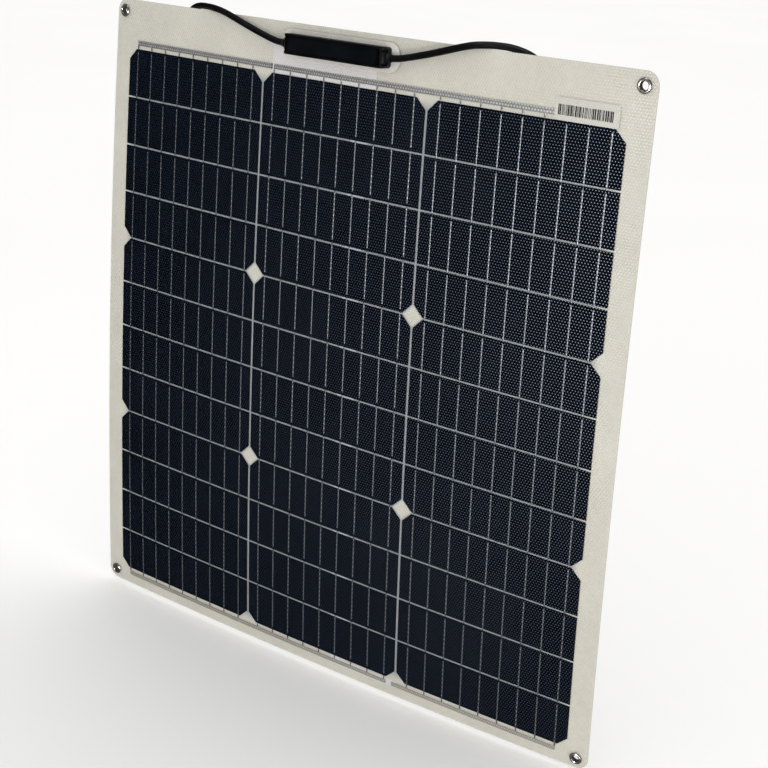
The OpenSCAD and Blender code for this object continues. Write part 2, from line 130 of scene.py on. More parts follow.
def scene_camera():
    data = bpy.data.cameras.new("camera")
    data.sensor_width, data.lens = 36, 62
    camera = bpy.data.objects.new("camera", data)
    bpy.context.scene.collection.objects.link(camera)
    place, target, roll = Vector((0.3614, -0.7895, 0.1091)), Vector((-0.1878, 0, -0.2518)), 3.26
    camera.location = place
    camera.rotation_mode = "QUATERNION"
    camera.rotation_quaternion = (target - place).to_track_quat("-Z", "Y") @ Quaternion(
        (0, 0, 1), math.radians(roll))
    bpy.context.scene.camera = camera


# ---------------------------------------------------------------- materials

class Paint:
    """A node material: its shader, and short ways to feed it."""

    def __init__(self, name, colour=(0.5, 0.5, 0.5), roughness=0.5, metallic=0.0, specular=0.5):
        self.material = bpy.data.materials.new(name)
        self.material.use_nodes = True
        self.tree = self.material.node_tree
        self.tree.nodes.clear()
        self.out = self.tree.nodes.new("ShaderNodeOutputMaterial")
        self.shader = self.tree.nodes.new("ShaderNodeBsdfPrincipled")
        self.tree.links.new(self.shader.outputs[0], self.out.inputs["Surface"])
        self.shader.inputs["Base Color"].default_value = (*colour, 1)
        self.shader.inputs["Roughness"].default_value = roughness
        self.shader.inputs["Metallic"].default_value = metallic
        self.shader.inputs["Specular IOR Level"].default_value = specular

    def node(self, kind, **values):
        n = self.tree.nodes.new("ShaderNode" + kind)
        for key, value in values.items():
            setattr(n, key, value)
        return n

    def link(self, a, b):
        self.tree.links.new(a, b)

    def math(self, operation, a, b=0.0):
        n = self.node("Math", operation=operation)
        for socket, value in zip(n.inputs, (a, b)):
            if isinstance(value, bpy.types.NodeSocket):
                self.link(value, socket)
            else:
                socket.default_value = value
        return n.outputs[0]

    def position(self, scale):
        n = self.node("Mapping")
        n.inputs["Scale"].default_value = scale
        self.link(self.node("TexCoord").outputs["Object"], n.inputs["Vector"])
        return n.outputs[0]

    def xyz(self):
        """The piece's own coordinates, by axis."""
        n = self.node("SeparateXYZ")
        self.link(self.node("TexCoord").outputs["Object"], n.inputs[0])
        return n.outputs

    def off(self, coordinate, middle):
        """How far a coordinate is from a middle given in mm."""
        return self.math("ABSOLUTE", self.math("SUBTRACT", coordinate, middle * MM))

    def noise(self, size, detail=2.0, scale=(1, 1, 1)):
        """Cloudy noise whose blobs are about size mm across."""
        n = self.node("TexNoise")
        self.link(self.position(scale), n.inputs["Vector"])
        n.inputs["Scale"].default_value = 1 / (size * MM)
        n.inputs["Detail"].default_value = detail
        n.inputs["Roughness"].default_value = 0.5
        return n.outputs["Fac"]

    def ramp(self, factor, low, high, at=(0.3, 0.7)):
        n = self.node("ValToRGB")
        n.color_ramp.elements[0].position, n.color_ramp.elements[1].position = at
        n.color_ramp.elements[0].color = (*low, 1)
        n.color_ramp.elements[1].color = (*high, 1)
        self.link(factor, n.inputs[0])
        return n.outputs[0]

    def colour(self, socket):
        self.link(socket, self.shader.inputs["Base Color"])
        return self

    def rough(self, factor, low, high):
        n = self.node("MapRange")
        self.link(factor, n.inputs["Value"])
        n.inputs["To Min"].default_value, n.inputs["To Max"].default_value = low, high
        self.link(n.outputs[0], self.shader.inputs["Roughness"])
        return self

    def bump(self, height, depth, strength=1.0):
        """Bumps whose height of 1 stands depth mm proud."""
        n = self.node("Bump")
        n.inputs["Distance"].default_value = depth * MM
        n.inputs["Strength"].default_value = strength
        self.link(height, n.inputs["Height"])
        self.link(n.outputs[0], self.shader.inputs["Normal"])
        return self

    def dimples(self, scale=1.0):
        """Hexagonal rows of dimples over the sheet, 1 in the middle of each and 0 between them."""
        xyz = self.xyz()
        turns = 2 * math.pi / (MM * scale)
        total = 1.5
        for across, up in DIMPLE_WAVES:
            phase = self.math("ADD", self.math("MULTIPLY", xyz["X"], across * turns),
                              self.math("MULTIPLY", xyz["Z"], up * turns))
            total = self.math("ADD", self.math("COSINE", phase), total)
        return self.math("DIVIDE", total, 4.5)

    def smooth(self, value, low, high):
        """0 up to low, 1 from high on, and a soft step between."""
        n = self.node("MapRange", interpolation_type="SMOOTHSTEP")
        self.link(value, n.inputs["Value"])
        n.inputs["From Min"].default_value, n.inputs["From Max"].default_value = low, high
        return n.outputs[0]


def clear_film():
    """Embossed film: see-through, and only the flat middles of its dimples glint."""
    p = Paint("embossed_film")
    p.tree.nodes.remove(p.shader)
    gloss = p.node("BsdfGlossy")
    gloss.inputs["Roughness"].default_value = 0.41
    gloss.inputs["Color"].default_value = (0.90, 0.95, 1.0, 1)
    clear = p.node("BsdfTransparent")
    mix = p.node("MixShader")
    fresnel = p.node("Fresnel")
    fresnel.inputs["IOR"].default_value = 2.15
    p.link(p.math("MULTIPLY", fresnel.outputs[0], p.smooth(p.dimples(), 0.73, 1.0)), mix.inputs[0])
    p.link(clear.outputs[0], mix.inputs[1])
    p.link(gloss.outputs[0], mix.inputs[2])
    p.link(mix.outputs[0], p.out.inputs["Surface"])
    return p.material


def clear_edge():
    """The film's cut edge and back: see-through, a little clouded."""
    p = Paint("film_edge")
    p.tree.nodes.remove(p.shader)
    clear = p.node("BsdfTransparent")
    cloud = p.ramp(p.noise(4), (0.97, 0.97, 0.96), (1, 1, 1))
    p.link(cloud, clear.inputs["Color"])
    p.link(clear.outputs[0], p.out.inputs["Surface"])
    return p.material


def weave_white(name, low, high, painted_gap_shade=None):
    """White plastic seen through the film: the film's dimples painted in as light and shade, over slow
    clouds.

    The gap colour is painted shade: it darkens what shows in the gaps between cells and tints it blue, but
    not the diamonds where four cells meet.
    """
    p = Paint(name, roughness=0.55, specular=0.25)
    # The film's dimples are painted into the colour as painted light and shade.
    grain = p.math("MULTIPLY", p.dimples(), 0.30)
    clouds = p.math("MULTIPLY", p.noise(45, 3), 0.70)
    colour = p.ramp(p.math("ADD", grain, clouds), low, high, (0.30, 0.75))
    # Painted shade: in the gaps between cells the colour is multiplied darker and bluer, as if shaded by the
    # cells beside them.
    if painted_gap_shade:
        xyz = p.xyz()
        middle_x, middle_z = -EYELET_X, SPLIT_Z - EYELET_Z
        covered = 1.0
        for axis, middle, half in (("X", middle_x, 1.5 * CELL_W), ("Z", middle_z, SPLIT_Z - BLOCK_BOTTOM)):
            within = p.smooth(p.off(xyz[axis], middle), (half + 1) * MM, (half - 9) * MM)
            covered = p.math("MULTIPLY", within, covered)
        from_diamond = p.math("ADD", p.off(p.off(xyz["X"], middle_x), COLUMN_PITCH / 2),
                              p.off(p.off(xyz["Z"], middle_z), BLOCK / 2 * STRIP_PITCH))
        outside = p.smooth(from_diamond, (CHAMFER - 2) * MM, (CHAMFER + 3) * MM)
        covered = p.math("MULTIPLY", covered, outside)
        shade = p.node("Mix", data_type="RGBA", blend_type="MULTIPLY")
        p.link(covered, shade.inputs["Factor"])
        p.link(colour, shade.inputs["A"])
        shade.inputs["B"].default_value = (*painted_gap_shade, 1)
        colour = shade.outputs["Result"]
    p.colour(colour)
    p.bump(p.dimples(), 0.14, 0.6)
    return p.material


def silicon():
    """Anti-reflection blue-black cells with hair-thin fingers across the busbars."""
    p = Paint("cell", roughness=0.42, specular=0.02)
    fingers = p.node("TexWave", wave_type="BANDS", bands_direction="Z", wave_profile="SIN")
    finger_gap = 1.6
    fingers.inputs["Scale"].default_value = 0.314 / (finger_gap * MM)  # the node repeats every 0.314 / scale
    p.link(p.node("TexCoord").outputs["Object"], fingers.inputs["Vector"])
    lines = p.ramp(fingers.outputs["Fac"], (0, 0, 0), (1, 1, 1), (0.93, 1.0))
    base = p.ramp(p.noise(60, 4), (0.0010, 0.0030, 0.0077), (0.0020, 0.0046, 0.0110), (0.25, 0.75))
    mix = p.node("Mix", data_type="RGBA")
    p.link(p.math("MULTIPLY", lines, 0.35), mix.inputs["Factor"])
    p.link(base, mix.inputs["A"])
    mix.inputs["B"].default_value = (0.010, 0.014, 0.021, 1)
    p.colour(mix.outputs["Result"])
    p.rough(p.noise(9, 2), 0.36, 0.5)
    p.bump(p.dimples(), 0.25)
    return p.material


def tinned(name, low, high, metallic=0.35):
    """Tinned copper, with the light and shade of the film's dimples in front of it painted into its colour.
    """
    p = Paint(name, roughness=0.42, metallic=metallic, specular=0.4)
    streaks = p.math("MULTIPLY", p.noise(1.3, 2), 0.45)
    # The dimples are painted light and shade from the film in front; the streaks are the metal's own tone.
    p.colour(p.ramp(p.math("ADD", p.math("MULTIPLY", p.dimples(), 0.7), streaks), low, high, (0.2, 0.9)))
    p.rough(p.noise(2.5), 0.34, 0.55)
    return p.material


def plain_plastic(name, low, high, grain=0.35, rough=(0.38, 0.55), depth=0.02, specular=0.4):
    """Moulded plastic with a fine spark-eroded grain and slow clouds."""
    p = Paint(name, specular=specular)
    p.colour(p.ramp(p.noise(14, 4), low, high))
    p.rough(p.noise(5, 3), *rough)
    p.bump(p.noise(grain, 3), depth)
    return p.material


def polished_metal(name, low, high, rough=(0.16, 0.32), metallic=1.0):
    """Plated metal with fine turning marks, dulled in patches."""
    p = Paint(name, metallic=metallic)
    p.colour(p.ramp(p.noise(2.2, 4), low, high))
    p.rough(p.noise(1.4, 4), *rough)
    p.bump(p.noise(0.12, 2, (1, 1, 8)), 0.004)
    return p.material


def jacket():
    """Black cable jacket: satin, with a drawn grain and a dusting of wear."""
    p = Paint("cable_jacket", specular=0.28)
    p.colour(p.ramp(p.noise(7, 5), (0.0020, 0.0023, 0.0031), (0.0050, 0.0055, 0.0066)))
    p.rough(p.noise(2.0, 3), 0.40, 0.58)
    p.bump(p.noise(0.5, 3), 0.03)
    return p.material


def board_edge():
    """Glass-fibre laminate: pale green-grey with the cloth's layers showing."""
    p = Paint("glass_fibre", roughness=0.6, specular=0.4)
    weave = p.noise(1.2, 3, (1, 5, 1))
    p.colour(p.ramp(weave, (0.40, 0.42, 0.33), (0.56, 0.57, 0.48)))
    p.bump(weave, 0.05)
    return p.material


def rear_skin():
    """Satin white back film with a fine linen emboss."""
    p = Paint("rear_skin", specular=0.35)
    p.colour(p.ramp(p.noise(80, 3), (0.655, 0.65, 0.625), (0.685, 0.68, 0.655)))
    p.rough(p.noise(12, 3), 0.42, 0.6)
    p.bump(p.dimples(0.6), 0.06, 0.6)
    return p.material


def foam_tape():
    """Pale foam pad under the box, with fine open cells."""
    p = Paint("foam_tape", roughness=0.75, specular=0.2)
    p.colour(p.ramp(p.noise(6, 4), (0.55, 0.53, 0.50), (0.63, 0.61, 0.575)))
    p.bump(p.noise(0.4, 3), 0.05)
    return p.material


# ---------------------------------------------------------------- geometry on the curl

def curl_points(flat, depth):
    """Points of the curled sheet, in the row frame in metres, from flat x and z and a depth in mm."""
    flat = np.asarray(flat, float).reshape(-1, 2)
    s = flat[:, 0] * math.cos(SLANT) - flat[:, 1] * math.sin(SLANT)
    r = CURL_R - np.asarray(depth, float)
    y = CURL_R - np.sqrt(r * r - s * s)
    return np.stack([flat[:, 0] - EYELET_X, y, flat[:, 1] - EYELET_Z], 1) * MM


def spot(x, z):
    """The frame of a spot on the curled front: its x is right, its y up the sheet and its z out, in mm."""
    s = x * math.cos(SLANT) - z * math.sin(SLANT)
    turn = Matrix.Rotation(math.asin(s / CURL_R), 4, RULING) @ Matrix.Rotation(math.radians(90), 4, "X")
    place = Vector(curl_points([(x, z)], 0)[0])
    return Matrix.Translation(place) @ turn @ Matrix.Scale(MM, 4)


def inside(points, loops):
    """Which points lie inside the first loop and outside the others, by the even-odd rule."""
    points = np.asarray(points, float)
    odd = np.zeros(len(points), bool)
    for loop in loops:
        a = np.asarray(loop, float)
        b = np.roll(a, -1, 0)
        for (ax, az), (bx, bz) in zip(a, b):
            crosses = (az > points[:, 1]) != (bz > points[:, 1])
            if az == bz:
                continue
            odd ^= crosses & (points[:, 0] < ax + (points[:, 1] - az) / (bz - az) * (bx - ax))
    return odd


def cut_up(loop, step):
    """The loop with extra points, so that none of its edges is longer than step."""
    made = []
    for (ax, az), (bx, bz) in zip(loop, loop[1:] + loop[:1]):
        n = max(1, math.ceil(math.hypot(bx - ax, bz - az) / step))
        made += [(ax + (bx - ax) * i / n, az + (bz - az) * i / n) for i in range(n)]
    return made


def fill(loops, step):
    """Triangles over an outline with holes, on a grid of about step mm."""
    loops = [cut_up(list(loop), step) for loop in loops]
    points, edges = [], []
    for loop in loops:
        first = len(points)
        points += loop
        edges += [(first + i, first + (i + 1) % len(loop)) for i in range(len(loop))]
    low, high = np.min(loops[0], 0), np.max(loops[0], 0)
    counts = [max(1, math.ceil((h - l) / step)) for l, h in zip(low, high)]
    xs, zs = (np.linspace(l, h, n + 1)[1:-1] for l, h, n in zip(low, high, counts))
    if len(xs) and len(zs):
        grid = np.stack(np.meshgrid(xs, zs), -1).reshape(-1, 2)
        grid = grid[inside(grid, loops)]
        border = np.asarray(points)
        gaps = np.min(np.linalg.norm(grid[:, None] - border[None], axis=2), 1) if len(grid) else []
        points += [tuple(g) for g, gap in zip(grid, gaps) if gap > step * 0.35]
    flat, _, faces, *_ = delaunay_2d_cdt([Vector(p) for p in points], edges, [], 0, 1e-5)
    flat = np.array([tuple(v) for v in flat])
    faces = np.array(faces)
    middle = flat[faces].mean(1)
    return flat, faces[inside(middle, loops)]


def sheet_piece(name, shapes, band, materials, step=STEP):
    """A closed slab for each outline, between two depths. A second material is for all but the front."""
    verts, faces, slots = [], [], []
    for loops in shapes:
        flat, triangles = fill(loops, step)
        first, n = len(verts), len(flat)
        verts += [tuple(p) for p in curl_points(flat, band[0])]
        verts += [tuple(p) for p in curl_points(flat, band[1])]
        used = {}
        for a, b, c in triangles:
            ax, az = flat[b] - flat[a]
            bx, bz = flat[c] - flat[a]
            if ax * bz - az * bx < 0:
                b, c = c, b
            faces.append((first + a, first + b, first + c))
            slots.append(0)
            faces.append((first + n + c, first + n + b, first + n + a))
            slots.append(1)
            for i, j in ((a, b), (b, c), (c, a)):
                used[(i, j)] = True
        for i, j in used:
            if (j, i) not in used:
                faces.append((first + j, first + i, first + n + i, first + n + j))
                slots.append(1)
    return piece(name, verts, faces, materials, slots)


def piece(name, verts, faces, materials, slots=None, smooth=False):
    mesh = bpy.data.meshes.new(name)
    mesh.from_pydata([tuple(map(float, v)) for v in verts], [], [tuple(map(int, f)) for f in faces])
    materials = materials if isinstance(materials, (list, tuple)) else [materials]
    for material in materials:
        mesh.materials.append(material)
    if slots is not None:
        last = len(materials) - 1
        mesh.polygons.foreach_set("material_index", [min(s, last) for s in slots])
    mesh.polygons.foreach_set("use_smooth", [smooth] * len(mesh.polygons))
    mesh.update()
    made = bpy.data.objects.new(name, mesh)
    bpy.context.scene.collection.objects.link(made)
    return made


def rect(x0, x1, z0, z1):
    return [(x0, z0), (x1, z0), (x1, z1), (x0, z1)]


def circle(x, z, r, n):
    turns = [2 * math.pi * i / n for i in range(n)]
    return [(x + r * math.cos(a), z + r * math.sin(a)) for a in turns]


def rounded(w, h, r, n=10):
    """A rectangle about the origin with rounded corners of n steps each."""
    made = []
    for quarter, (cx, cz) in enumerate(((w / 2 - r, h / 2 - r), (r - w / 2, h / 2 - r),
                                        (r - w / 2, r - h / 2), (w / 2 - r, r - h / 2))):
        for i in range(n + 1):
            a = math.radians(90 * (quarter + i / n))
            made.append((cx + r * math.cos(a), cz + r * math.sin(a)))
    return made


def half_outline(upper):
    """Outline of the sheet above or below its middle split, with its two eyelet holes."""
    side = 1 if upper else -1
    arcs = [(x, z) for x, z in rounded(SHEET_W, SHEET_H, CORNER_R) if z * side > 0]
    split = [(-SHEET_W / 2, SPLIT_Z), (SHEET_W / 2, SPLIT_Z)]
    ring = arcs + (split if upper else split[::-1])
    holes = [circle(i * EYELET_X, side * EYELET_Z, EYELET_BORE, 24) for i in (-1, 1)]
    return [ring] + holes


def bend(made):
    """Bakes a piece's transform into its mesh."""
    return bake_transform(made)


def strip_span(row):
    """The low and high edge of a row of cells."""
    high = BLOCK_TOP - row * STRIP_PITCH
    return high - STRIP_H, high


def strip_outline(column, row):
    """A quarter-cut cell: the first and last of each four have their outer corners cut off."""
    x = (column - 1) * COLUMN_PITCH
    low, high = strip_span(row)
    w = CELL_W / 2
    t = CHAMFER if row % BLOCK == 0 else 0
    b = CHAMFER if row % BLOCK == BLOCK - 1 else 0
    corners = [(x - w + b, low), (x + w - b, low), (x + w, low + b), (x + w, high - t),
               (x + w - t, high), (x - w + t, high), (x - w, high - t), (x - w, low + b)]
    return [c for i, c in enumerate(corners) if c != corners[i - 1]]


def bars(rows):
    """Spans of the busbars on some rows, each as x, low z, high z.

    The current runs up the middle column and down the outer two, so a bar leaves its cell at the top in the
    middle column and at the bottom in the others. The first and last rows also reach their bus ribbons.
    """
    for row in rows:
        low, high = strip_span(row)
        for column in range(COLUMNS):
            for j in range(BAR_COUNT):
                x = (column - 1) * COLUMN_PITCH + (j - (BAR_COUNT - 1) / 2) * BAR_PITCH
                rise = BUS_GAP if row == 0 else STRIP_GAP
                drop = BUS_GAP if row == ROWS - 1 else STRIP_GAP
                if column == 1:
                    yield x, low + BAR_INSET_BOTTOM, high + rise
                    if row == ROWS - 1:
                        yield x, low - BUS_GAP, low
                else:
                    yield x, low - drop, high - BAR_INSET_TOP
                    if row == 0:
                        yield x, high, high + BUS_GAP


def domed_strips(name, spans, width, band, material, along_x=False):
    """Flat ribbons with soft edges, each laid along the curl over its span."""
    # The ribbon's section: part of the width across, part of the band's depth down
    section = [(-0.5, 1.0), (-0.5, 0.35), (-0.3, 0.0), (0.3, 0.0), (0.5, 0.35), (0.5, 1.0)]
    n = len(section)
    verts, faces = [], []
    for at, start, end in spans:
        count = max(1, math.ceil((end - start) / STEP))
        first = len(verts)
        for i in range(count + 1):
            t = start + (end - start) * i / count
            for across, down in section:
                a = at + across * width
                depth = band[0] + down * (band[1] - band[0])
                verts.append(tuple(curl_points([(t, a) if along_x else (a, t)], depth)[0]))
        for i in range(count):
            for k in range(n):
                a, b = first + i * n + k, first + i * n + (k + 1) % n
                quad = (a, b, b + n, a + n)
                faces.append(quad[::-1] if along_x else quad)
        cap = tuple(range(first, first + n))
        end_cap = tuple(range(first + count * n + n - 1, first + count * n - 1, -1))
        faces += [cap[::-1], end_cap[::-1]] if not along_x else [cap, end_cap]
    return piece(name, verts, faces, material)


# ---------------------------------------------------------------- solid pieces

def lathe(profile, place, segments=48):
    """A closed profile of (radius, height) in mm, turned about the place's z axis."""
    n = len(profile)
    verts = []
    for i in range(segments):
        a = 2 * math.pi * i / segments
        verts += [place @ Vector((r * math.cos(a), r * math.sin(a), h)) for r, h in profile]
    faces = []
    for i in range(segments):
        j = (i + 1) % segments
        for k in range(n):
            m = (k + 1) % n
            faces.append((i * n + k, j * n + k, j * n + m, i * n + m))
    return verts, faces


def revolve(name, profile, material, place, segments=48):
    return piece(name, *lathe(profile, place, segments), material, smooth=True)


def apply_modifiers(made):
    """Makes the modified mesh the piece's own."""
    dg = bpy.context.evaluated_depsgraph_get()
    mesh = bpy.data.meshes.new_from_object(made.evaluated_get(dg))
    made.modifiers.clear()
    made.data = mesh


def prism(outline, low, high, place, axis="z"):
    """A closed prism over a 2D outline in mm, from low to high along the third axis of the place's frame."""
    def at(u, v, h):
        return place @ (Vector((u, v, h)) if axis == "z" else Vector((u, h, v)))
    n = len(outline)
    verts = [at(u, v, h) for h in (low, high) for u, v in outline]
    faces = [tuple(range(n))[::-1], tuple(range(n, 2 * n))]
    faces += [(i, (i + 1) % n, n + (i + 1) % n, n + i) for i in range(n)]
    if axis != "z":
        faces = [f[::-1] for f in faces]
    return verts, faces


def carve(made, cutters, bevel=0, keep=None):
    """Cuts each (verts, faces) solid out of a piece, keeps what lies in keep, then rounds its edges."""
    tools = []
    for verts, faces in cutters + ([keep] if keep else []):
        tool = piece("cutter", verts, faces, made.data.materials[0])
        tools.append(tool)
        cut = made.modifiers.new("cut", "BOOLEAN")
        cut.object, cut.solver = tool, "EXACT"
        cut.operation = "INTERSECT" if len(tools) > len(cutters) else "DIFFERENCE"
    if bevel:
        edge = made.modifiers.new("edge", "BEVEL")
        edge.width, edge.segments = bevel * MM, 2
        edge.limit_method, edge.angle_limit = "ANGLE", math.radians(40)
    bpy.context.view_layer.update()
    apply_modifiers(made)
    for tool in tools:
        bpy.data.objects.remove(tool)
    return shaded(made)


def brick(x0, x1, y0, y1, z0, z1, place):
    """A closed box in the place's frame."""
    (x0, x1), (y0, y1) = sorted((x0, x1)), sorted((y0, y1))
    return prism(rect(x0, x1, y0, y1), z0, z1, place)


def together(*solids):
    """Several (verts, faces) solids as one."""
    verts, faces = [], []
    for more_verts, more_faces in solids:
        first = len(verts)
        verts += more_verts
        faces += [tuple(first + i for i in face) for face in more_faces]
    return verts, faces


def shaded(made, degrees=35):
    """Smooth shading that keeps edges sharper than an angle."""
    made.data.polygons.foreach_set("use_smooth", [True] * len(made.data.polygons))
    made.data.set_sharp_from_angle(angle=math.radians(degrees))
    return made


def rod(radius, low, high, place):
    return prism(circle(0, 0, radius, 32), low, high, place)


# ---------------------------------------------------------------- cords

# Each lead's way from its cable seal over the top edge, as in the CAD, and its way from its coil down to the
# connector. The places are in mm in the frame of the row
POSITIVE_ROUTE = [
    (-197.5, -1.3, -5.3), (-190, -1.6, -4.5), (-182, -1.8, -2.9), (-172, -1.9, -0.5),
    (-160.5, -2.2, 2.5), (-149, -2.2, 5.8), (-138.5, -2, 8.9), (-128, -1.2, 11.4),
    (-122, 0.6, 12.1), (-117, 3.2, 12.3), (-111, 6, 12.15), (-105, 8, 11.7),
    (-96, 9.8, 9.9), (-88, 10.8, 7), (-80.5, 11.4, 2.2), (-74.5, 11.8, -5),
    (-70, 12, -14), (-67.2, 12, -25), (-65.9, 12, -38), (-65.7, 12, -52),
    (-65.7, 12, -67),
]
POSITIVE_TAIL = [
    (-68.7, 7.9, -67), (-68.7, 7.2, -76), (-68.6, 7.6, -85), (-68.3, 9.4, -94),
    (-68, 11.8, -103), (-68, 13.5, -112), (-68, 14, -118), (-68, 14, -130),
]
NEGATIVE_ROUTE = [
    (-300.4, 3.35, -5.3), (-306, 3.6, -5.1), (-313, 4.1, -3.9), (-320, 4.8, -2.3),
    (-332, 5.8, 0.9), (-347, 7.2, 5.1), (-356, 8.4, 7.6), (-365, 9.9, 9.9),
    (-378.5, 12.6, 12), (-392.5, 16.6, 12.4), (-404, 20.4, 11.6), (-411.5, 22.4, 9.3),
    (-418, 23.4, 4.1), (-421.9, 23.9, -4), (-423.9, 24, -14), (-424.4, 24, -26),
    (-424.5, 24, -40), (-424.5, 24, -54), (-424.5, 24, -67),
]
NEGATIVE_TAIL = [
    (-421.5, 19.9, -67), (-421.5, 19.4, -76), (-421.6, 19.8, -85), (-421.9, 21.2, -94),
    (-422.2, 22.8, -103), (-422.2, 23.8, -112), (-422.2, 24, -118), (-422.2, 24, -130),
]
COIL_R, TURN_OFFSET, TURNS, TURN_POINTS = 26, 4.3, 4, 16
POSITIVE_COIL, NEGATIVE_COIL = (-96, 12, -67), (-394.2, 24, -67)
CONNECTOR_Z = -118
POSITIVE_END, NEGATIVE_END = (-68, 14), (-422.2, 24)


def coil_turns(centre, side):
    """The coil's turns: side is 1 where the lead comes down its right side, -1 where it is the left."""
    made = []
    for i in range(1, TURNS * TURN_POINTS):
        turn = i / TURN_POINTS
        lay = math.radians(72 * turn)
        r = COIL_R + TURN_OFFSET * math.cos(lay)
        a = -2 * math.pi * turn
        made.append((centre[0] + side * r * math.cos(a), centre[1] + TURN_OFFSET * math.sin(lay),
                     centre[2] + r * math.sin(a)))
    return made


def lead(name, route, coil, side, tail, nodes, material):
    """One lead, as a round cord through its route, its coil and its tail."""
    curve = bpy.data.curves.new(name, "CURVE")
    curve.dimensions = "3D"
    curve.bevel_depth = CABLE_D / 2 * MM
    curve.bevel_resolution = 5
    curve.resolution_u = 6
    curve.use_fill_caps = True
    points = route + coil_turns(coil, side) + tail
    spline = curve.splines.new("BEZIER")
    spline.bezier_points.add(len(points) - 1)
    for point, place in zip(spline.bezier_points, points):
        point.co = Vector(place) * MM
        point.handle_left_type = point.handle_right_type = "AUTO"
    curve.materials.append(material)
    made = bpy.data.objects.new(name, curve)
    bpy.context.scene.collection.objects.link(made)
    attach(made, "upper_section")
    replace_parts(made, *nodes)
    return made


def coil_tie(name, centre, material):
    """A hook-and-loop strap round the top of the coil."""
    bundle_r, half_w = TURN_OFFSET + CABLE_D / 2, 4.5
    r0, r1 = bundle_r + 0.15, bundle_r + 0.95
    profile = [(r0, -half_w), (r1 - 0.2, -half_w), (r1, 0.3 - half_w), (r1, half_w - 0.3),
               (r1 - 0.2, half_w), (r0, half_w)]
    top = Vector((centre[0], centre[1], centre[2] + COIL_R))
    place = Matrix.Translation(top * MM) @ Matrix.Rotation(math.radians(90), 4, "Y") @ Matrix.Scale(MM, 4)
    made = revolve(name, profile, material, place, 40)
    shaded(made, 50)
    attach(made, "upper_section")
    return made


def at_connector(end):
    """The frame of a connector: its z runs down the connector from the end of the coil's tail, in mm."""
    return Matrix.Translation(Vector((*end, CONNECTOR_Z)) * MM) @ Matrix.Rotation(
        math.radians(180), 4, "X") @ Matrix.Scale(MM, 4)


def round_bar(radius, x, y, low, high, place):
    """A bar standing along the place's z, its ends drawn in a little."""
    ring = circle(x, y, radius, 12)
    small = circle(x, y, radius * 0.6, 12)
    verts = [place @ Vector((u, v, h)) for outline, h in
             ((small, low), (ring, low + 0.5), (ring, high - 0.5), (small, high)) for u, v in outline]
    faces = [tuple(range(12))[::-1], tuple(range(36, 48))]
    faces += [(12 * k + i, 12 * k + (i + 1) % 12, 12 * k + 12 + (i + 1) % 12, 12 * k + 12 + i)
              for k in range(3) for i in range(12)]
    return verts, faces


def gland_nut(name, end, material):
    """Nut that grips the lead: a cone, then a sleeve with finger ribs."""
    place = at_connector(end)
    profile = [(2.62, 0), (4.5, 0), (5.0, 0.35), (7.1, 4.4), (7.5, 5.0), (7.5, 5.4), (7.2, 5.7), (7.2, 14.8),
               (7.5, 15.1), (7.5, 15.6), (7.2, 16), (5.5, 16), (5.5, 8), (2.62, 8)]
    ribs = []
    for i in range(12):
        a = math.radians(30 * i)
        ribs.append(round_bar(0.95, 7.2 * math.cos(a), 7.2 * math.sin(a), 5.7, 14.8, place))
    return shaded(piece(name, *together(lathe(profile[::-1], place), *ribs), material), 40)


# Profile that both connectors begin with, as radius and height: a bore for the lead, then a grooved neck
NECK = [(1.95, 8.2), (5.2, 8.2), (5.2, 16.25), (6.0, 16.25), (6.4, 16.6), (6.4, 18.4), (6.15, 18.6),
        (6.15, 19.2), (6.4, 19.4), (6.4, 21.2), (6.15, 21.4), (6.15, 22.0), (6.4, 22.2)]


def build_plug(end, housing):
    """Plug: a hollow collar with a window on each side for the latches."""
    place = at_connector(end)
    profile = NECK + [(6.4, 26.6), (6.6, 27.2), (8.1, 30.5), (8.4, 31.2), (8.4, 50.5), (8.0, 51), (5.8, 51),
                      (5.4, 50.6), (5.4, 33), (1.95, 33)]
    made = piece("plug_body", *lathe(profile[::-1], place, 64), housing)
    carve(made, [brick(i * 7 - 2.5, i * 7 + 2.5, -1.9, 1.9, 38.5, 47.5, place) for i in (-1, 1)])
    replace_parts(made, "plug_housing")
    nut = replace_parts(gland_nut("gland_nut_positive", end, housing), "gland_nuts")
    return made, nut


def build_socket(end, housing):
    """Socket: a slim barrel with a seal ring, and two latch arms beside it."""
    place = at_connector(end)
    profile = NECK + [(6.4, 26.5), (6.0, 27), (5.0, 27), (5.0, 29.6), (4.6, 29.7), (4.6, 31.4), (5.0, 31.5),
                      (5.0, 48.3), (4.5, 49), (1.95, 49)]
    solids = [lathe(profile[::-1], place, 64)]
    seal_ring = circle(4.75, 30.55, 0.62, 12)
    solids.append(lathe(seal_ring[::-1], place))
    for i in (-1, 1):
        arm = [(5.95, 23), (7.3, 23.4), (7.3, 38.4), (8.2, 39.0), (8.2, 39.8), (7.2, 43), (6.2, 43),
               (5.95, 42)]
        arm = [(i * u, v) for u, v in (arm if i == 1 else arm[::-1])]
        solids.append(prism(arm, -1.8, 1.8, place, "y"))
    made = shaded(piece("socket_body", *together(*solids), housing), 35)
    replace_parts(made, "socket_housing")
    return made, gland_nut("gland_nut_negative", end, housing)


# ---------------------------------------------------------------- the build

def halves():
    """Each half of the sheet: if it is the upper one, its word, and the CAD sections it stands for."""
    yield True, "upper", ("upper", "middle")
    yield False, "lower", ("lower",)


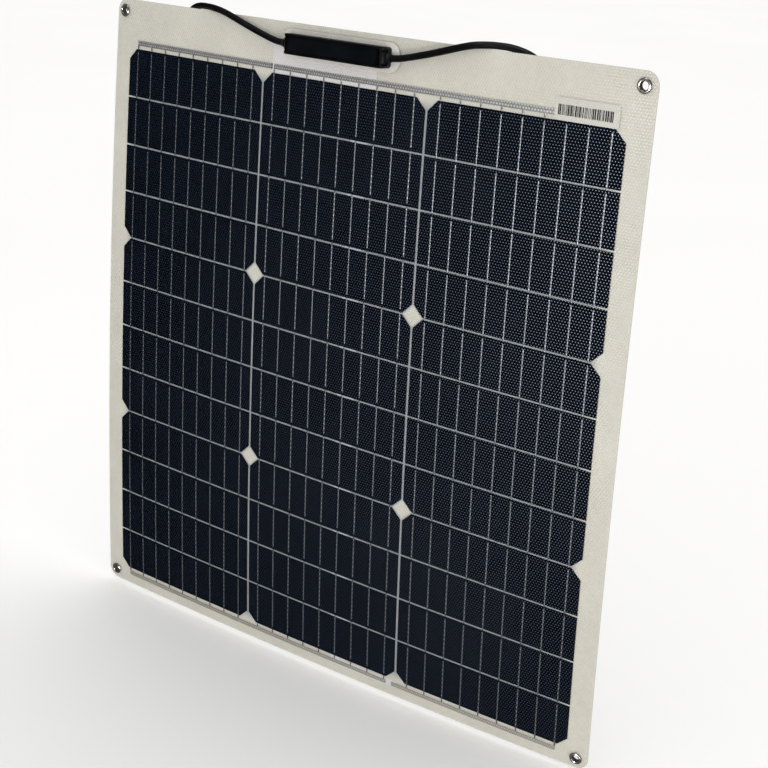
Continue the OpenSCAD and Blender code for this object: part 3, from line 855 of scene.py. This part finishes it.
def build_leads():
    """Both leads, with their straps and connectors."""
    rubber = jacket()
    strap = plain_plastic("strap", (0.010, 0.010, 0.011), (0.022, 0.022, 0.024), grain=0.6,
                          rough=(0.75, 0.95), depth=0.12)
    housing = plain_plastic("connector_black", (0.0055, 0.0058, 0.0065), (0.0105, 0.0110, 0.0120),
                            rough=(0.42, 0.6), specular=0.45)
    plug, socket = build_plug(POSITIVE_END, housing), build_socket(NEGATIVE_END, housing)
    for made in plug + socket:
        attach(made, "upper_section")
    tie_positive = coil_tie("strap_positive", POSITIVE_COIL, strap)
    tie_negative = coil_tie("strap_negative", NEGATIVE_COIL, strap)
    lead("lead_cable_positive", POSITIVE_ROUTE, POSITIVE_COIL, 1, POSITIVE_TAIL,
         ("lead_positive", "coil_positive"), rubber)
    lead("lead_cable_negative", NEGATIVE_ROUTE, NEGATIVE_COIL, -1, NEGATIVE_TAIL,
         ("lead_negative", "coil_negative"), rubber)


def build_laminate():
    """The laminate, each layer in an upper and a lower half that meet where nothing bends."""
    film, film_edge, cell = clear_film(), clear_edge(), silicon()
    # The backing is painted darker and bluer in the gaps between cells, as painted shade.
    white = weave_white("white_backing", (0.515, 0.499, 0.445), (0.595, 0.578, 0.518),
                        painted_gap_shade=(0.55, 0.59, 0.71))
    bar = tinned("busbar", (0.018, 0.021, 0.028), (0.175, 0.193, 0.220), 0.4)
    layers = (
        ("film_", FILM, [film, film_edge], ("front_film_", "front_encapsulant_"), "front_film"),
        ("backing_", BACKING, white, ("back_encapsulant_",), "encapsulant"),
        ("board_", BOARD, board_edge(), ("core_board_",), "core_board"),
        ("rear_skin_", REAR, rear_skin(), ("back_film_",), "back_film"),
    )
    for upper, half, sections in halves():
        for name, band, materials, cad, slot in layers:
            made = sheet_piece(name + half, [half_outline(upper)], band, materials)
            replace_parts(made, *[c + s for c in cad for s in sections])
            bend(made)
        rows = range(0, ROWS // 2) if upper else range(ROWS // 2, ROWS)
        for column, place in enumerate(("left", "centre", "right")):
            strips = [[strip_outline(column, row)] for row in rows]
            made = sheet_piece(f"cells_{place}_{half}", strips, CELL, cell)
            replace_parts(made, *[f"cells_{s}_{place}" for s in sections])
            bend(made)
        made = domed_strips("busbars_" + half + "_half", bars(rows), BAR_W, RIBBON, bar)
        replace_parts(made, *["busbars_" + s for s in sections])
        bend(made)


def build_return():
    """The ribbon that brings the bottom right bus up to the box, and the white strip that hides it."""
    # The insulation is painted darker and bluer in the gaps between cells, as painted shade.
    bright = weave_white("insulation_white", (0.575, 0.552, 0.560), (0.65, 0.63, 0.64),
                         painted_gap_shade=(0.66, 0.70, 0.80))
    hidden = tinned("return_ribbon", (0.2, 0.2, 0.2), (0.5, 0.5, 0.5), 0.6)
    low, high = BLOCK_BOTTOM - BUS_GAP - BUS_W, BOX_Z + 2
    left, right = RETURN_X - RETURN_W / 2, RETURN_X + RETURN_W / 2
    ribbon = {True: rect(left, right, SPLIT_Z, high),
              False: [(left, low), (RETURN_END, low), (RETURN_END, low + BUS_W), (right, low + BUS_W),
                      (right, SPLIT_Z), (left, SPLIT_Z)]}
    # The strip runs on into a patch under the box, and into a foot over the bottom bus
    left, right = RETURN_X - INSULATION_W / 2, RETURN_X + INSULATION_W / 2
    above, below = BLOCK_TOP + OVERLAP[0], BLOCK_BOTTOM - OVERLAP[1]
    foot, patch_left, patch_right = low - OVERLAP[1], *PATCH_X
    strip = {True: [(left, SPLIT_Z), (right, SPLIT_Z), (right, above), (patch_right, above),
                    (patch_right, above + PATCH_H), (patch_left, above + PATCH_H), (patch_left, above),
                    (left, above)],
             False: [(left, foot), (RETURN_END + 1, foot), (RETURN_END + 1, below), (right, below),
                     (right, SPLIT_Z), (left, SPLIT_Z)]}
    for upper, half, sections in halves():
        made = sheet_piece("return_" + half, [[ribbon[upper]]], RETURN, hidden)
        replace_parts(made, *["return_ribbon_" + s for s in sections])
        bend(made)
        made = sheet_piece("insulation_" + half + "_half", [[strip[upper]]], INSULATION, bright)
        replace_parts(made, *["insulation_" + s for s in sections])
        bend(made)


def build_bus_ribbons():
    """The ribbons along the top and the bottom of the cells, each side split at one column gap."""
    bright = tinned("bus_ribbon", (0.09, 0.093, 0.095), (0.42, 0.425, 0.42), 0.2)
    dull = tinned("bus_ribbon_low", (0.20, 0.19, 0.17), (0.44, 0.425, 0.39), 0.2)
    end = COLUMN_PITCH + (BAR_COUNT - 1) / 2 * BAR_PITCH + BAR_W / 2
    top, bottom = BLOCK_TOP + BUS_GAP + BUS_W / 2, BLOCK_BOTTOM - BUS_GAP - BUS_W / 2
    for name, x0, x1, z, body, material in (
        ("bus_ribbon_top_left", -end, BUS_SPLIT_TOP[0], top, "upper_section", bright),
        ("bus_ribbon_top_bridge", BUS_SPLIT_TOP[1], end, top, "upper_section", bright),
        ("bus_ribbon_bottom_bridge", -end, BUS_SPLIT_BOTTOM[0], bottom, "lower_section", dull),
        ("bus_ribbon_bottom_right", BUS_SPLIT_BOTTOM[1], end, bottom, "lower_section", dull),
    ):
        band = (RIBBON[0] + 0.06, RIBBON[1])
        made = domed_strips(name + "_bar", [(z, x0, x1)], BUS_W, band, material, True)
        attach(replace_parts(made, name), body)


def build_label():
    """The identification label near the top right corner, under the film."""
    paper = weave_white("label_paper", (0.505, 0.492, 0.455), (0.580, 0.567, 0.525))
    ink = plain_plastic("label_ink", (0.003, 0.003, 0.004), (0.012, 0.012, 0.014), grain=1.0, specular=0.1)
    low, (left, right) = BLOCK_TOP + LABEL_GAP, LABEL_X
    made = sheet_piece("label_sheet", [[rect(left, right, low, low + LABEL_H)]], LABEL, paper)
    made.visible_shadow = False
    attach(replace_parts(made, "id_label"), "upper_section")
    # Bars of random widths and gaps, which stand for no number
    shapes, x, last = [], left + 2.6, right - 4.6
    while x < last:
        w = random.choice((0.45, 0.45, 0.8, 1.1))
        shapes.append([rect(x, x + w, low + 3.5, low + 10.6)])
        x += w + random.choice((0.3, 0.4, 0.7))
    made = sheet_piece("label_bars", shapes, (LABEL[0] - 0.02, LABEL[0] - 0.003), ink)
    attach(made, "upper_section")


def build_eyelets(nickel):
    """Four eyelets, each a barrel with a domed flange in front and its rolled end behind."""
    front = [(3.0, -3.2), (3.0, 0.3), (3.08, 0.58), (3.3, 0.8), (3.65, 0.93), (4.1, 0.93), (4.55, 0.8),
             (4.9, 0.55), (5.12, 0.25), (5.18, 0.04), (3.6, 0.03), (3.45, -0.1), (3.45, -2.95)]
    roll = [(3.75 + 0.5 * math.cos(a), -3.55 + 0.5 * math.sin(a))
            for a in [math.radians(60 - 25 * i) for i in range(11)]]
    profile = front + roll + [(3.05, -3.5)]
    for name, i, j, body in (
        ("top_right", 1, 1, "upper_section"), ("top_left", -1, 1, "upper_section"),
        ("bottom_right", 1, -1, "lower_section"), ("bottom_left", -1, -1, "lower_section"),
    ):
        made = revolve("eyelet_" + name, profile[::-1], nickel, spot(i * EYELET_X, j * EYELET_Z), 64)
        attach(made, body)
        if i == 1:
            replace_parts(made, "eyelets_upper" if j == 1 else "eyelets_lower")


def build_pad(place):
    """Foam tape under the box: its back follows the curl, its front is flat."""
    flat, triangles = fill([cut_up(rounded(PAD_L, PAD_W, PAD_R, 12), 6)], 6)
    s = flat[:, 0] * math.cos(SLANT) - flat[:, 1] * math.sin(SLANT)
    n = len(flat)
    verts = [place @ Vector((u, v, PAD_T)) for u, v in flat]
    verts += [place @ Vector((u, v, 0.02 - d * d / 2 / CURL_R)) for (u, v), d in zip(flat, s)]
    faces, used = [], set()
    for a, b, c in triangles:
        (ax, az), (bx, bz) = flat[b] - flat[a], flat[c] - flat[a]
        if ax * bz - az * bx < 0:
            b, c = c, b
        faces += [(a, b, c), (n + c, n + b, n + a)]
        used |= {(a, b), (b, c), (c, a)}
    faces += [(j, i, n + i, n + j) for i, j in used if (j, i) not in used]
    made = piece("tape_pad", verts, faces, foam_tape())
    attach(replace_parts(made, "adhesive_pad"), "upper_section")


def build_base(place, black):
    """Box base: a hollow body with round noses, a recess for the lid and a groove at each end of that."""
    half, c = BOX_L / 2, BOX_TOP - NOSE_R
    nose = [(half - NOSE_R + NOSE_R * math.cos(math.radians(t)), c + NOSE_R * math.sin(math.radians(t)))
            for t in range(0, 91, 9)]
    side = [(-half, PAD_T), (half, PAD_T)] + nose + [(-u, v) for u, v in nose[::-1]]
    made = piece("box_shell", *prism(side, -BOX_W / 2 - 1, BOX_W / 2 + 1, place, "y"), black)
    over = BOX_TOP + 2
    cavity_x, cavity_y, recess_x, recess_y = CAVITY_L / 2, CAVITY_W / 2, RECESS_L / 2, RECESS_W / 2
    cutters = [brick(-cavity_x, cavity_x, -cavity_y, cavity_y, CAVITY_FLOOR, over, place),
               brick(-recess_x, recess_x, -recess_y, recess_y, BOX_TOP - RECESS_D, over, place)]
    slit_start, slit_y, slit_floor = 45.9, (4.3, 5.5), PAD_T + 4.2
    for i in (-1, 1):
        cutters.append(brick(i * (recess_x - 0.01), i * GROOVE_END, -recess_y, recess_y,
                             BOX_TOP - GROOVE_D, over, place))
        turned = place @ Matrix.Translation((i * half, 0, CABLE_Z)) @ Matrix.Rotation(
            math.radians(90), 4, "Y")
        cutters.append(rod(CABLE_BORE_R, -11 if i == 1 else -1, 1 if i == 1 else 11, turned))
        for j in (-1, 1):
            cutters.append(brick(i * slit_start, i * (half + 1), j * slit_y[0], j * slit_y[1],
                                 slit_floor, over, place))
    carve(made, cutters, 0.3, prism(rounded(BOX_L, BOX_W, BOX_CORNER_R, 8), 0, BOX_TOP + 1, place))
    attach(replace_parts(made, "box_base"), "upper_section")


def build_lid(place, lid_black):
    """Lid: a plate with a thin raised rim and a finger notch."""
    outer = rounded(LID_L, LID_W, 1.2, 6)
    inner = rounded(LID_L - 2 * LID_RIM, LID_W - 2 * LID_RIM, 0.7, 6)
    low, high = BOX_TOP - RECESS_D + 0.02, BOX_TOP + LID_PROUD
    made = piece("box_cover", *prism(outer, low, high, place), lid_black)
    carve(made, [prism(inner, BOX_TOP, BOX_TOP + 2, place),
                 brick(-6, 6, -6.2, -5.0, BOX_TOP - 0.9, BOX_TOP + 2, place)], 0.12)
    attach(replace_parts(made, "box_lid"), "lid")


def build_seals(place, seal):
    """Cable seals: a stepped rubber nose at each end of the box."""
    for i, name in ((1, "right"), (-1, "left")):
        profile = [(1.1, -9.9), (2.5, -9.9), (2.55, 0.05), (3.55, 0.05), (3.6, 0.5), (3.4, 0.9), (3.4, 1.3),
                   (3.15, 1.5), (3.15, 2.0), (2.9, 2.2), (2.85, 3.0), (1.1, 3.0)]
        turned = place @ Matrix.Translation((i * BOX_L / 2, 0, CABLE_Z)) @ Matrix.Rotation(
            math.radians(90 * i), 4, "Y")
        made = revolve("seal_" + name, profile[::-1], seal, turned, 40)
        shaded(made, 40)
        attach(made, "upper_section")
        if i == 1:
            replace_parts(made, "cable_seals")


def build_box():
    """The junction box on its pad, near the top edge."""
    black = plain_plastic("box_black", (0.0022, 0.0026, 0.0034), (0.0044, 0.0050, 0.0062), specular=0.2)
    lid_black = plain_plastic("lid_black", (0.0018, 0.0030, 0.0048), (0.0038, 0.0054, 0.0076),
                              grain=0.5, rough=(0.30, 0.42), specular=0.2)
    seal = plain_plastic("seal_rubber", (0.006, 0.006, 0.0065), (0.012, 0.012, 0.013), rough=(0.5, 0.7))
    place = spot(BOX_X, BOX_Z)
    build_pad(place)
    build_base(place, black)
    build_lid(place, lid_black)
    build_seals(place, seal)


def dress_cad_nodes(nodes, nickel):
    """Better materials for the CAD pieces that stay as they are."""
    copper = polished_metal("copper", (0.55, 0.28, 0.16), (0.78, 0.45, 0.28), (0.25, 0.45))
    brass = polished_metal("brass", (0.55, 0.40, 0.16), (0.78, 0.62, 0.32), (0.2, 0.4))
    epoxy = plain_plastic("epoxy", (0.012, 0.012, 0.013), (0.024, 0.024, 0.026), rough=(0.5, 0.7))
    tin = polished_metal("tin", (0.55, 0.55, 0.54), (0.75, 0.75, 0.74))
    for name, material in (
        ("eyelet_washers_upper", nickel), ("eyelet_washers_lower", nickel), ("cable_clamps", nickel),
        ("lead_conductors", copper), ("terminal_plates", brass), ("bypass_diode", epoxy),
        ("plug_pin", tin), ("socket_sleeve", tin), ("lead_out_ribbons", tin),
    ):
        for slot in nodes[name].material_slots:
            slot.material = material
        if not nodes[name].material_slots:
            nodes[name].data.materials.append(material)


def build_floor():
    """A pale floor just below the part."""
    p = Paint("floor", roughness=0.9, specular=0.1)
    p.colour(p.ramp(p.noise(900, 1), (0.915, 0.915, 0.915), (0.93, 0.93, 0.93)))
    z = cad_box[0].z - 4 * MM
    radius_m, corners = 16, 64
    ring = [(x, y, z) for x, y in circle(0, 0, radius_m, corners)]
    floor = piece("floor", ring, [tuple(range(corners))], p.material)
    floor.visible_glossy = False


def light_scene(glinting, matt):
    """Soft studio light. The lamps light only what is in the two collections."""
    world = bpy.data.worlds.new("studio")
    bpy.context.scene.world = world
    world.use_nodes = True
    background = world.node_tree.nodes["Background"]
    background.inputs["Color"].default_value = (1.0, 0.995, 0.985, 1)
    background.inputs["Strength"].default_value = 1.09
    world.cycles_visibility.glossy = False

    # The sparkle lamp makes the glints in the embossed film and the metal, the fill lamp lights all but
    # the film from the right, and the overhead lamp is soft and cool
    for name, place, target, size, power, colour in (
        ("sparkle", (0.03, -1.5, -0.40), (-0.2, 0, -0.2), 0.36, 86, (1, 0.985, 0.97)),
        ("fill", (1.2, -1.35, -0.62), (0, 0, -0.4), 0.9, 34, (1, 0.965, 0.935)),
        ("overhead", (-0.3, -0.5, 1.3), (-0.25, 0, 0), 0.8, 9, (0.85, 0.93, 1)),
    ):
        data = bpy.data.lights.new(name, "AREA")
        data.shape, data.size, data.energy, data.color = "DISK", size, power, colour
        lamp = bpy.data.objects.new(name, data)
        lamp.location = place
        lamp.rotation_mode = "QUATERNION"
        lamp.rotation_quaternion = (Vector(target) - Vector(place)).to_track_quat("-Z", "Y")
        bpy.context.scene.collection.objects.link(lamp)
        lamp.visible_diffuse = name == "fill"
        lamp.light_linking.receiver_collection = glinting if name == "sparkle" else matt
    bpy.context.scene.view_settings.view_transform = "Standard"


def main():
    nodes = frame["nodes"]
    scene_camera()
    build_leads()
    build_laminate()
    build_return()
    build_bus_ribbons()
    build_label()
    nickel = polished_metal("nickel", (0.19, 0.183, 0.17), (0.34, 0.325, 0.305), (0.18, 0.28), 0.8)
    build_eyelets(nickel)
    build_box()
    dress_cad_nodes(nodes, nickel)

    glinting, matt = bpy.data.collections.new("glinting"), bpy.data.collections.new("matt")
    for made in bpy.context.scene.objects:
        if made.name.startswith(("film_", "busbars_", "bus_ribbon_", "eyelet_")):
            glinting.objects.link(made)
        if made.type in ("MESH", "CURVE") and not made.name.startswith("film_"):
            matt.objects.link(made)
    build_floor()
    light_scene(glinting, matt)


main()
